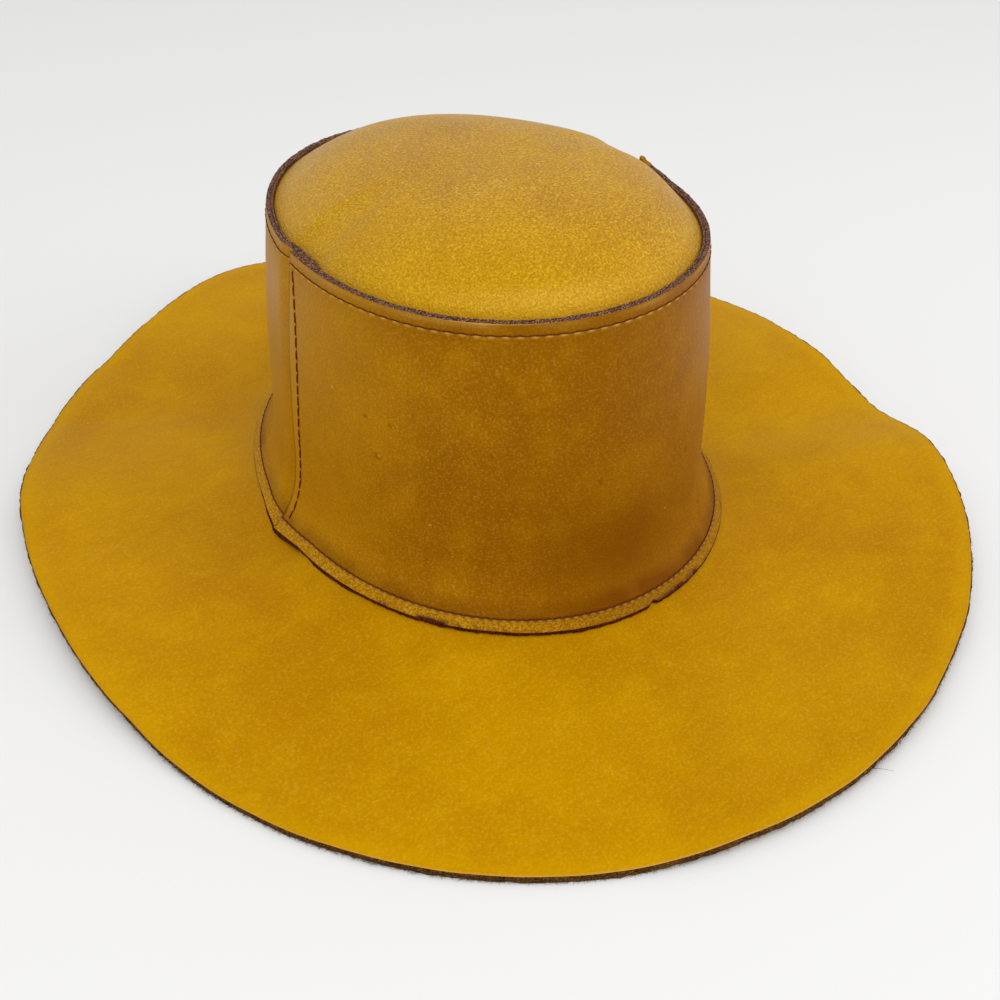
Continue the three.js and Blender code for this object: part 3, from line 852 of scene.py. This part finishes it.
# The brim: its top, the rounded raw edge, and the same surface one leather below.
def makeBrim():
    angles = np.linspace(0, 360, brimSizes["stations"], endpoint=False)
    thickness = brimSizes["leather"]
    radius = brimSizes["edgeRound"]
    root = brimPoint(angles, np.full(len(angles), float(skirtRow)))
    edge = brimEdge(angles)
    reach = np.hypot(edge[:, 0] - root[:, 0], edge[:, 1] - root[:, 1])[:, None]
    turn = np.radians(np.array([30, 60, 90]))
    backs = radius - radius * np.sin(turn)
    insets = radius - radius * np.cos(turn)
    collarRows = np.linspace(brimSizes["collarTopRow"] + 0.1, skirtRow, 9)[:-1]
    nearby = np.arange(0, 10, 1.0)
    # share of the way out, millimetres added to it, depth in the leather
    top = [(0, off, 0) for off in nearby]
    top += [(share, 0, 0) for share in np.linspace(0.12, 0.97, brimSizes["topRows"])]
    top += [(1, -back, 0) for back in (2.0, 1.3, 0.8, 0.5)] + [(1, -b, i) for b, i in zip(backs, insets)]
    under = [(1, -b, thickness - i) for b, i in zip(backs[::-1], insets[::-1])]
    under += [(1, -back, thickness) for back in (0.8, 1.3, 2.0)]
    under += [(share, 0, thickness) for share in np.linspace(0.97, 0.12, brimSizes["underRows"])]
    under += [(0, off, thickness) for off in nearby[::-2]]
    middle = [(1, 0, depth) for depth in np.linspace(insets[-1], thickness - insets[-1], 5)[1:-1]]
    places = np.array(top + middle + under)
    shares = places[None, :, 0] + places[None, :, 1] / reach
    collar = np.repeat(collarRows[None], len(angles), axis=0)
    rows = np.concatenate([collar, skirtRow + shares, collar[:, ::-1]], axis=1)
    ones = np.ones(len(collarRows))
    inward = np.concatenate([0 * ones, places[:, 2], thickness * ones])[None] * np.ones_like(rows)
    angle = np.repeat(angles[:, None], rows.shape[1], axis=1)
    loops = brimPoint(angle, rows) - inward[..., None] * facing(brimPoint, angle, rows)
    outwards = np.concatenate([edge[:, :2] - root[:, :2], np.zeros((len(angles), 1))], axis=1) / reach
    wander = brimSizes["cutWander"] * softNoise(edge, brimSizes["cutWanderSize"], 21)[:, None]
    fromEdge = (1 - (rows - skirtRow)) * reach
    isCut = fromEdge < radius - 1e-6
    rough = brimSizes["edgeRough"] * (softNoise(loops, 1.9, 22) + 0.6 * softNoise(loops, 0.8, 23))
    steep = cutSteepness(angle)
    slant = brimSizes["cutSlant"] * steep * inward / thickness * ease(-fromEdge, -6, 0)
    push = wander * ease(-fromEdge, -6, 0) + rough * isCut - slant
    loops = loops + push[..., None] * outwards[:, None, :]
    loops[..., 2] = np.maximum(loops[..., 2], 0)
    place = np.arange(rows.shape[1])
    outer = place < len(collarRows) + len(top)
    cutPlace = isCut[0] | np.roll(isCut[0], -1)
    tones = np.where(cutPlace, 1, np.where(outer, 0, 2))
    # Painted shade near the crown and painted light just inside the edge; a light worn line along the top of
    # the upright front cut; burnish near the undercut edge.
    fields = {
        "shade": 0.3 * hump(np.maximum(reach - fromEdge, 0), 7),
        "wearAndHighlight": 1.6 * hump(fromEdge - 0.5, 0.3) * (1 - steep),
        "lit": 0.4 * hump(fromEdge - 3, 3),
        "burnish": 0.3 * hump(np.maximum(fromEdge - 0.3, 0), 0.6) * steep,
    }
    materials = [brimLeather, cutLeather, fleshLeather]
    return skinPiece("brim_leather", loops, True, tones, materials, fields=fields)


brim = makeBrim()
print("brim made")

tipSizes = {
    "domeHeight": 18.8,  # above the top edge
    "fullness": 3.2,  # exponent: the larger, the flatter the middle and the rounder the shoulder
    "domeTilt": 2.4,  # how much fuller the dome is on the right
    "shoulderSwell": 2.0,  # the round shoulder near the right seam
    "shoulderAngle": 80.0,
    "shoulderWidth": 24.0,
    "grooveDepth": 1.0,
    "grooveWidth": 0.3,
    "press": 0.25,  # the two raw edges are pressed closer together than the sewn layers below
    "edgeLeather": 0.9,  # the raw edge is pared thinner
    "turnUp": 8.0,
    "edgeRound": 0.25,
    "edgeRough": 0.28,
    "shoulderHighlight": 0.6,  # painted highlight along the front shoulder
    "swell": 0.25,
    "swellSize": 38.0,
    "stations": 460,
}


# The tip: dome height = (rise + tilt ring sin(angle)) (1 - ring^fullness), where ring runs from 0 in
# the middle to 1 in the groove; then the edge turned up inside the wall, the fold and the underside.
def makeTip():
    angles = np.linspace(0, 360, tipSizes["stations"], endpoint=False)[:, None]
    thickness = crown["leather"]
    rise = tipSizes["domeHeight"] + tipSizes["grooveDepth"]
    edge = underWall(angles, np.zeros_like(angles), innerDepth(angles) - tipSizes["press"])
    foldRow = rowAt(tipSizes["turnUp"])
    fold = underWall(angles, np.full_like(angles, foldRow), innerDepth(angles))
    foldWidth = 2 * thickness + tipSizes["grooveWidth"]

    def inwards(point, distance, height):
        reach = np.hypot(point[..., 0], point[..., 1])
        share = (reach - distance) / reach
        return np.stack(np.broadcast_arrays(point[..., 0] * share, point[..., 1] * share, height), axis=-1)

    def onDome(ring, drop):
        groove = inwards(edge, tipSizes["edgeLeather"] + tipSizes["grooveWidth"], edge[..., 2])
        tilt = tipSizes["domeTilt"] * ring * np.sin(np.radians(angles))
        fromShoulder = angles - tipSizes["shoulderAngle"]
        shoulder = tipSizes["shoulderSwell"] * hump(fromShoulder, tipSizes["shoulderWidth"])
        shoulder = shoulder * ease(ring, 0.45, 0.85) * (1 - ease(ring, 0.88, 1))
        domeTop = (rise + tilt) * (1 - ring ** tipSizes["fullness"]) - tipSizes["grooveDepth"]
        height = mix(crown["rimHeight"], edge[..., 2], ring) + domeTop + shoulder - drop
        plan = groove[..., :2] * ring[..., None]
        flat = np.concatenate([plan, np.zeros_like(plan[..., :1])], axis=-1)
        swell = tipSizes["swell"] * softNoise(flat, tipSizes["swellSize"], 31) * ease(1 - ring, 0, 0.25)
        return np.concatenate([plan, (height + swell)[..., None]], axis=-1)

    share = np.linspace(0, 1, 58)[None, 1:]
    rings = (1 - (1 - share) ** 1.6) * np.ones_like(angles)
    dome = onDome(rings, 0.0)
    edgeZ = edge[..., 2]
    radius = tipSizes["edgeRound"]
    grooveFloor = tipSizes["grooveDepth"] + 1.3
    turn = np.radians(np.array([[30, 60, 90]]))
    # inset from the edge's outer face, height above the edge
    pared = tipSizes["edgeLeather"]
    section = [
        (pared + 0.24, -grooveFloor + 0.7), (pared + 0.15, -grooveFloor), (pared + 0.06, -grooveFloor + 0.5),
        (pared, -1.4), (pared, -0.9), (pared, -0.6),
    ]
    section += [(pared - radius + radius * np.cos(t), -radius + radius * np.sin(t)) for t in turn[0]]
    section += [(0.7 * pared, 0), (0.5 * pared, 0), (0.3 * pared, 0)]
    section += [(radius - radius * np.cos(t), -radius + radius * np.sin(t)) for t in turn[0][::-1]]
    section += [(0, -0.8)]
    insets, heights = np.array(section).T
    turned = np.mod(angles - crown["leftSeam"], 360)
    alone = (turned > lapAngle + 0.3) & (turned < frontEnd - crown["leftSeam"] - lapAngle - 0.3)
    fill = np.where(alone, innerDepth(angles) - sewnLayer, 0)
    spread = np.maximum(pared - insets[None], 0) / pared * fill
    rim = inwards(edge, insets[None] - spread, edgeZ + heights[None])
    rough = 0.7 * softNoise(rim, 1.3, 32) + 0.5 * softNoise(rim, 0.6, 33)
    rim[..., 2] += tipSizes["edgeRough"] * rough * (heights > -0.5)
    downs = np.linspace(1.5, tipSizes["turnUp"], 8)
    outerAngles = np.repeat(angles, len(downs), axis=1)
    pressed = tipSizes["press"] * (1 - ease(downs, 0, 6))[None]
    outerRows = rowAt(downs)[None] * np.ones_like(outerAngles)
    outer = underWall(outerAngles, outerRows, innerDepth(outerAngles) - pressed)
    foldTurn = np.radians(np.linspace(15, 165, 7))[None]
    foldInset = foldWidth / 2 * (1 - np.cos(foldTurn))
    foldBottom = inwards(fold, foldInset, fold[..., 2] - foldWidth / 2 * np.sin(foldTurn) * 0.8)
    underShare = np.linspace(0, 1, 40)[None, :-1]
    underRings = (1 - underShare) ** 0.6 * 0.96
    underRings = underRings * np.ones_like(angles)
    slope = rise * tipSizes["fullness"] * underRings ** (tipSizes["fullness"] - 1) / (crown["rimWidth"] / 2)
    under = onDome(underRings, thickness * np.hypot(1, slope))
    inner = inwards(fold, foldWidth, fold[..., 2])
    climb = inner + (under[:, :1] - inner) * np.linspace(0, 0.9, 5)[None, :, None]
    loops = np.concatenate([dome, rim, outer, foldBottom, climb, under], axis=1)
    heightTop = crown["rimHeight"] + tipSizes["domeHeight"]
    swell = tipSizes["swell"] * softNoise(np.zeros((1, 3)), tipSizes["swellSize"], 31)[0]
    poles = np.array([[0, 0, heightTop + swell], [0, 0, heightTop + swell - thickness]])
    domeCount, rimCut = dome.shape[1], heights > -1.0
    tones = np.full(loops.shape[1], 2)
    tones[:domeCount] = 0
    tones[domeCount:domeCount + len(section)] = np.where(rimCut, 1, 0)
    # painted shade at the dome's foot and in the groove beside the raw edge
    shade = np.zeros(loops.shape[:2])
    shade[:, :domeCount] = 0.6 * hump(1 - rings, 0.03)
    shade[:, domeCount:domeCount + len(section)] = 0.8
    materials = [tipLeather, rimCutLeather, fleshLeather]
    wearAndHighlight = np.zeros_like(shade)
    signed = np.mod(angles + 180, 360) - 180
    # painted highlight along the front shoulder
    wearAndHighlight[:, :domeCount] = tipSizes["shoulderHighlight"] * hump(rings - 0.93, 0.045) * hump(signed + 22, 28)
    # painted light over the front left of the dome
    lit = np.zeros_like(shade)
    lit[:, :domeCount] = 0.45 * (1 - ease(np.abs(signed + 60), 20, 90)) * ease(rings, 0.3, 0.95)
    fields = {"shade": shade, "wearAndHighlight": wearAndHighlight, "lit": lit}
    return skinPiece("crown_tip_leather", loops, True, tones, materials, poles=poles, fields=fields)


tip = makeTip()
print("tip made")


# Waxed twisted thread: dark, tight, nearly matt.
def waxedThread(name, look):
    material, tree = newMaterial(name)
    place = addNode(tree, "ShaderNodeTexCoord").outputs["Object"]
    twistInputs = {"Vector": place, "Scale": 1000 / look["twist"], "Detail": 2.0}
    twist = addNode(tree, "ShaderNodeTexNoise", twistInputs).outputs["Fac"]
    factor = addNode(tree, "ShaderNodeMapRange", {"Value": twist, "From Min": 0.35, "From Max": 0.7})
    mixed = {0: factor.outputs[0], 6: linear(look["dark"]), 7: linear(look["light"])}
    colour = addNode(tree, "ShaderNodeMix", mixed, data_type="RGBA")
    bump = addNode(tree, "ShaderNodeBump", {"Height": twist, "Distance": 0.0001})
    shader = addNode(tree, "ShaderNodeBsdfPrincipled", {
        "Base Color": colour.outputs[2], "Roughness": 0.6, "IOR": 1.5, "Normal": bump.outputs[0],
        "Specular IOR Level": 0.15,
    })
    addNode(tree, "ShaderNodeOutputMaterial", {"Surface": shader.outputs[0]})
    return material


brownThread = waxedThread("waxed_brown_thread", {"dark": "#3E1204", "light": "#6E2E0C", "twist": 0.56})
redThread = waxedThread("waxed_red_thread", {"dark": "#480804", "light": "#7C2410", "twist": 0.56})
threadSizes = {"dive": 0.5, "stand": 0.1, "rings": 7, "sides": 6}
rimThread = {"radius": 0.2, "gap": 0.1, "arch": 0.4, "material": brownThread}
skirtThread = {**rimThread, "arch": 0.3}
seamThread = {"radius": 0.31, "gap": 0.1, "arch": 0.15, "material": redThread}


# Round strands as one mesh: about each place of each path a ring of points at
# radius (cos(turn) sideways + sin(turn) upwards), joined by quads, with both ends closed.
def strandsPiece(name, paths, sideways, upwards, radius, sides, material):
    turn = np.radians(np.arange(sides) * 360 / sides)[:, None]
    circle = np.cos(turn) * sideways[:, :, None] + np.sin(turn) * upwards[:, :, None]
    points = paths[:, :, None] + radius[..., None, None] * circle
    index = np.arange(points.size // 3).reshape(points.shape[:3])
    ahead = np.roll(index, -1, axis=2)
    quads = np.stack([index[:, :-1], index[:, 1:], ahead[:, 1:], ahead[:, :-1]], axis=-1)
    faces = quads.reshape(-1, 4).tolist() + index[:, 0, :].tolist() + index[:, -1, ::-1].tolist()
    return meshPiece(name, points.reshape(-1, 3), faces, np.zeros(len(faces)), [material])


# A row of stitches as one mesh. Each is a round strand from hole to hole that dives into the
# leather at both ends: height = stand - dive (2t - 1)^6, and it bows across the row by arch sin(pi t).
def stitchRow(name, angles, downs, thread):
    share = np.linspace(0, 1, threadSizes["rings"])[None]
    fromMiddle = 2 * share - 1
    height = threadSizes["stand"] - threadSizes["dive"] * fromMiddle**6
    radius = thread["radius"] * (1 - 0.35 * fromMiddle**4)
    length = np.hypot(np.diff(angles) * mmPerDegree, np.diff(downs))[:, None]
    gap = thread["gap"] / length / 2
    share = gap + (1 - 2 * gap) * share
    angle = mix(angles[:-1, None], angles[1:, None], share)
    row = rowAt(mix(downs[:-1, None], downs[1:, None], share))
    path = underWall(angle, row, outerDepth(angle) - height)
    along = np.gradient(path, axis=1)
    along = along / np.linalg.norm(along, axis=-1, keepdims=True)
    outward = facing(wallPoint, angle, row)
    sideways = np.cross(along, outward)
    path = path - sideways * thread["arch"] * np.sin(np.pi * share)[..., None]
    return strandsPiece(name, path, sideways, outward, radius, threadSizes["sides"], thread["material"])


def outerDepth(angle):
    turned = np.mod(angle - crown["leftSeam"], 360)
    return np.where(turned <= frontEnd - crown["leftSeam"], 0, backDepth(angle))


rimHoles = np.interp(np.arange(rimCount + 1) / rimCount * rimArcs[-1], rimArcs, rimAngles)
skirtHoles = np.interp(np.arange(skirtCount + 1) / skirtCount * skirtArcs[-1], skirtArcs, skirtAngles)
seamHoles = mix(seamTop, sewnDown, np.arange(seamCount + 1) / seamCount)
seamAway = seamInset(seamHoles) / mmPerDegree
rimLevel = np.full(rimCount + 1, panelSizes["rimStitchDown"])
stitches = [
    stitchRow("rim_stitches", rimHoles, rimLevel, rimThread),
    stitchRow("skirt_stitches", skirtHoles, sewnAt(skirtHoles), skirtThread),
    stitchRow("left_seam_stitches", crown["leftSeam"] + seamAway, seamHoles, seamThread),
    stitchRow("right_seam_stitches", crown["rightSeam"] - seamAway, seamHoles, seamThread),
]
print("stitches made")

fibreSizes = {
    "count": 7000,
    "length": 1.45,
    "radius": 0.065,
    "sides": 3,
    "rings": 4,
    "spread": 0.9,
    "curl": 0.5,
    "seed": 7,
    "longAngle": 1.5,  # one long fibre
    "longLength": 6.0,
    "longRadius": 0.12,
}


# Loose fibres of the brim's cut: thin tapering strands that start in the cut, lean out and down,
# and curl by curl t^2 to one side, where t runs from 0 at the root to 1 at the tip.
def makeFibres():
    random = np.random.default_rng(fibreSizes["seed"])
    count = fibreSizes["count"]
    angle = random.uniform(0, 360, count)
    depth = brimSizes["leather"] * random.uniform(0.3, 0.98, count)
    angle[0] = fibreSizes["longAngle"]
    setBack = 0.15 + brimSizes["cutSlant"] * cutSteepness(angle) * depth / brimSizes["leather"]
    root = brimPoint(angle, np.full(count, skirtRow + 1.0))
    inner = brimPoint(angle, np.full(count, skirtRow + 0.9))
    outwards = (root - inner) / np.linalg.norm(root - inner, axis=1, keepdims=True)
    around = np.cross(outwards, np.array([0.0, 0.0, 1.0]))
    start = root - outwards * setBack[:, None] - np.array([0, 0, 1.0]) * depth[:, None]
    length = fibreSizes["length"] * random.uniform(0.25, 1, count) ** 1.5
    lean = random.normal(0, fibreSizes["spread"], (count, 2))
    direction = outwards + lean[:, :1] * around + np.array([0, 0, 1.0]) * (0.35 * lean[:, 1:] - 0.35)
    direction = direction / np.linalg.norm(direction, axis=1, keepdims=True)
    curl = around * random.normal(0, fibreSizes["curl"], (count, 1))
    length[0], direction[0] = fibreSizes["longLength"], 0.6 * outwards[0] - 0.8 * around[0]
    curl[0] = 0.3 * outwards[0]
    share = np.linspace(0, 1, fibreSizes["rings"])[None, :, None]
    path = start[:, None] + length[:, None, None] * (direction[:, None] * share + curl[:, None] * share**2)
    path[..., 2] = np.maximum(path[..., 2], 0.1)
    first = np.cross(direction, around + outwards * 0.3)
    first = first / np.linalg.norm(first, axis=1, keepdims=True)
    second = np.cross(first, direction)
    radius = np.full((count, 1), fibreSizes["radius"])
    radius[0] = fibreSizes["longRadius"]
    radius = radius * (1 - 0.7 * share[..., 0])
    sides = fibreSizes["sides"]
    return strandsPiece("brim_edge_fibres", path, first[:, None], second[:, None], radius, sides, looseFibre)


fibres = makeFibres()
print("fibres made")

for piece, node, slot in (
    (brim, "brim", "brim_leather"),
    (frontPanel, "crown_front_panel", "crown_leather"),
    (backPanel, "crown_back_panel", "crown_leather"),
    (tip, "crown_tip", "tip_leather"),
):
    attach(piece, "root")
    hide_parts(node)
for piece in stitches:
    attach(piece, "root")
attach(fibres, "root")

# Plain pale floor, an even pale sky, a large soft light above the front left and a weak low one
# from the front right.
studio = {
    "floorColour": "#E2E2E1",  # painted board: matt and even, so that the shadows stay soft
    "floorSize": 8.0, "skyColour": "#FFFFFF", "skyStrength": 0.76,
    "lights": (  # name, side, place, power
        ("soft_light", 1.6, (-0.5, -0.55, 1.6), 14.0),
        ("low_light", 1.2, (0.9, -1.1, 0.7), 7.0),
    ),
}


def makeStudio():
    half = studio["floorSize"] / 2
    mesh = bpy.data.meshes.new("floor")
    corners = [(-half, -half, 0), (half, -half, 0), (half, half, 0), (-half, half, 0)]
    mesh.from_pydata(corners, [], [(0, 1, 2, 3)])
    material, tree = newMaterial("painted_board")
    inputs = {"Base Color": linear(studio["floorColour"]), "Roughness": 0.6, "Specular IOR Level": 0.2}
    shader = addNode(tree, "ShaderNodeBsdfPrincipled", inputs)
    addNode(tree, "ShaderNodeOutputMaterial", {"Surface": shader.outputs[0]})
    mesh.materials.append(material)
    floor = bpy.data.objects.new("floor", mesh)
    bpy.context.scene.collection.objects.link(floor)
    world = bpy.data.worlds.new("pale_room")
    world.use_nodes = True
    world.node_tree.nodes.clear()
    sky = addNode(world.node_tree, "ShaderNodeBackground", {
        "Color": linear(studio["skyColour"]), "Strength": studio["skyStrength"],
    })
    addNode(world.node_tree, "ShaderNodeOutputWorld", {"Surface": sky.outputs[0]})
    bpy.context.scene.world = world
    for name, side, place, power in studio["lights"]:
        light = bpy.data.lights.new(name, "AREA")
        light.size = side
        light.energy = power
        lamp = bpy.data.objects.new(name, light)
        lamp.location = place
        lamp.rotation_euler = (-Vector(place)).to_track_quat("-Z", "Y").to_euler()
        bpy.context.scene.collection.objects.link(lamp)


makeStudio()

# The camera stands at a distance from the middle of the crown's foot, looks down a little steeper
# than that line, and is turned and rolled by hand-held amounts.
cameraSizes = {
    "distance": 525.0, "elevation": 37.06, "azimuth": -36.69, "steeper": 0.81, "turned": 1.29, "roll": 0.95,
    "lens": 46.8, "sensor": 36.0,
}


def makeCamera():
    values = cameraSizes
    elevation, pitch = np.radians(values["elevation"]), np.radians(values["elevation"] + values["steeper"])
    turned, roll = np.radians(values["turned"]), np.radians(values["roll"])
    place = Vector((0, -np.cos(elevation), np.sin(elevation))) * values["distance"]
    forward = Vector((np.sin(turned) * np.cos(pitch), np.cos(turned) * np.cos(pitch), -np.sin(pitch)))
    right = forward.cross(Vector((0, 0, 1))).normalized()
    up = right.cross(forward)
    right, up = right * np.cos(roll) + up * np.sin(roll), up * np.cos(roll) - right * np.sin(roll)
    axes = Matrix((right, up, -forward)).transposed().to_4x4()
    spin = Matrix.Rotation(np.radians(values["azimuth"]), 4, "Z")
    camera = bpy.data.cameras.new("camera")
    camera.lens = values["lens"]
    camera.sensor_width = values["sensor"]
    camera.sensor_fit = "HORIZONTAL"
    camera.clip_start = 0.01
    holder = bpy.data.objects.new("camera", camera)
    middle = Vector(hatShift.tolist()) * 0.001
    holder.matrix_world = Matrix.Translation(middle) @ spin @ Matrix.Translation(place * 0.001) @ axes
    bpy.context.scene.collection.objects.link(holder)
    bpy.context.scene.camera = holder


makeCamera()
bpy.context.scene.view_settings.view_transform = "Standard"
print("studio and camera made")
